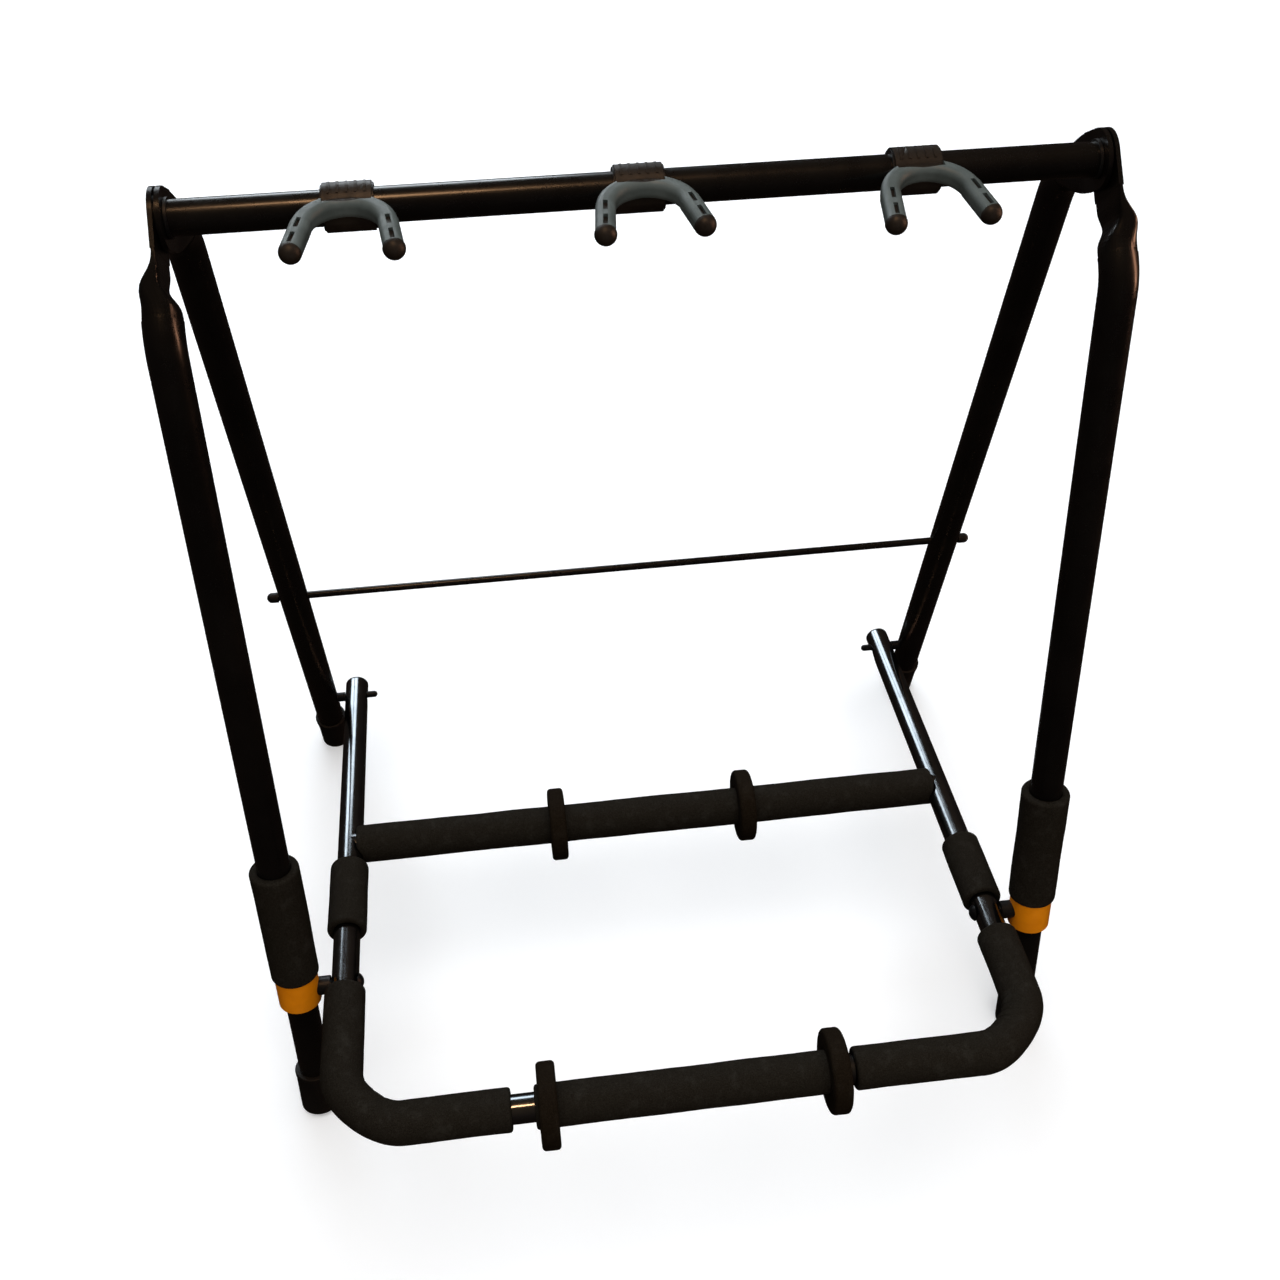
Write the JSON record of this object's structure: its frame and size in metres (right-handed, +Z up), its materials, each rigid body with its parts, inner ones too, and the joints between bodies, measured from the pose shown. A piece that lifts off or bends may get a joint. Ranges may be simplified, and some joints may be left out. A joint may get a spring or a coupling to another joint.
{
  "type": "guitar rack",
  "caption": "Folding floor rack for guitars: hinged tube A-frame, sliding neck yokes on the top tube, and a foam-padded base frame with sliding dividers.",
  "frame": {"origin": "on the floor, under the middle of the whole rack", "axes": "+X to the right as the player faces the rack, +Y to the back, +Z up"},
  "size_m": [0.6531, 0.5387, 0.7242],
  "materials": {
    "leg_paint": "gloss black powder coat with warm reflections",
    "base_chrome": "bright black plated tube",
    "foam": "matte closed-cell foam",
    "divider_foam": "matte dense foam",
    "band_plastic": "satin orange moulded plastic",
    "rubber": "matte black rubber",
    "black_plastic": "satin black nylon",
    "yoke_black": "satin brown-black moulded plastic",
    "grip_grey": "satin grey soft-touch rubber",
    "black_steel": "blackened steel"
  },
  "bodies": {
    "front_frame": {"top_tube": "leg_paint", "left_end_plug": "black_plastic", "right_end_plug": "black_plastic", "left_ridge_bolt": "black_steel", "right_ridge_bolt": "black_steel", "ridge_washers": "black_plastic", "left_front_leg": "leg_paint", "right_front_leg": "leg_paint", "left_front_foot": "rubber", "right_front_foot": "rubber", "left_leg_grip": "foam", "right_leg_grip": "foam", "left_band": "band_plastic", "right_band": "band_plastic", "left_base_bolt": "black_steel", "right_base_bolt": "black_steel", "left_base_spacer": "black_plastic", "right_base_spacer": "black_plastic"},
    "rear_frame": {"left_rear_leg": "leg_paint", "right_rear_leg": "leg_paint", "left_rear_foot": "rubber", "right_rear_foot": "rubber", "cross_rod": "leg_paint", "left_rod_cap": "rubber", "right_rod_cap": "rubber", "left_rest_pin": "black_steel", "right_rest_pin": "black_steel"},
    "base_frame": {"base_tube": "base_chrome", "cross_tube": "base_chrome", "left_tube_plug": "black_plastic", "right_tube_plug": "black_plastic", "left_side_pad": "foam", "right_side_pad": "foam", "left_corner_pad": "foam", "right_corner_pad": "foam", "front_pad": "foam", "rear_pad": "foam"},
    "front_left_divider": {"front_left_divider": "divider_foam"},
    "front_right_divider": {"front_right_divider": "divider_foam"},
    "rear_left_divider": {"rear_left_divider": "divider_foam"},
    "rear_right_divider": {"rear_right_divider": "divider_foam"},
    "left_liner": {"left_yoke_liner": "black_plastic"},
    "left_yoke": {"left_yoke_fork": "yoke_black", "left_yoke_grip": "grip_grey"},
    "middle_liner": {"middle_yoke_liner": "black_plastic"},
    "middle_yoke": {"middle_yoke_fork": "yoke_black", "middle_yoke_grip": "grip_grey"},
    "right_liner": {"right_yoke_liner": "black_plastic"},
    "right_yoke": {"right_yoke_fork": "yoke_black", "right_yoke_grip": "grip_grey"}
  },
  "joints": [
    {"name": "rear_legs_fold", "type": "hinge", "parent": "front_frame", "child": "rear_frame", "pos_m": [0, 0.10794, 0.705], "axis": [-1, 0, 0], "range_deg": [0, 23.5]},
    {"name": "base_fold", "type": "hinge", "parent": "front_frame", "child": "base_frame", "pos_m": [0, -0.10466, 0.12882], "axis": [1, 0, 0], "range_deg": [0, 26]},
    {"name": "front_left_divider_slide", "type": "slide", "parent": "base_frame", "child": "front_left_divider", "axis": [1, 0, 0], "range_m": [0, 0.07]},
    {"name": "front_right_divider_slide", "type": "slide", "parent": "base_frame", "child": "front_right_divider", "axis": [1, 0, 0], "range_m": [-0.07, 0]},
    {"name": "rear_left_divider_slide", "type": "slide", "parent": "base_frame", "child": "rear_left_divider", "axis": [1, 0, 0], "range_m": [-0.06, 0.06]},
    {"name": "rear_right_divider_slide", "type": "slide", "parent": "base_frame", "child": "rear_right_divider", "axis": [1, 0, 0], "range_m": [-0.06, 0.06]},
    {"name": "left_yoke_slide", "type": "slide", "parent": "front_frame", "child": "left_liner", "axis": [1, 0, 0], "range_m": [-0.04, 0.04]},
    {"name": "middle_yoke_slide", "type": "slide", "parent": "front_frame", "child": "middle_liner", "axis": [1, 0, 0], "range_m": [-0.04, 0.04]},
    {"name": "right_yoke_slide", "type": "slide", "parent": "front_frame", "child": "right_liner", "axis": [1, 0, 0], "range_m": [-0.04, 0.04]},
    {"name": "left_yoke_turn", "type": "hinge", "parent": "left_liner", "child": "left_yoke", "pos_m": [-0.184, 0.10794, 0.705], "axis": [1, 0, 0], "range_deg": [-30, 60]},
    {"name": "middle_yoke_turn", "type": "hinge", "parent": "middle_liner", "child": "middle_yoke", "pos_m": [-0.0045, 0.10794, 0.705], "axis": [1, 0, 0], "range_deg": [-30, 60]},
    {"name": "right_yoke_turn", "type": "hinge", "parent": "right_liner", "child": "right_yoke", "pos_m": [0.1725, 0.10794, 0.705], "axis": [1, 0, 0], "range_deg": [-30, 60]}
  ]
}
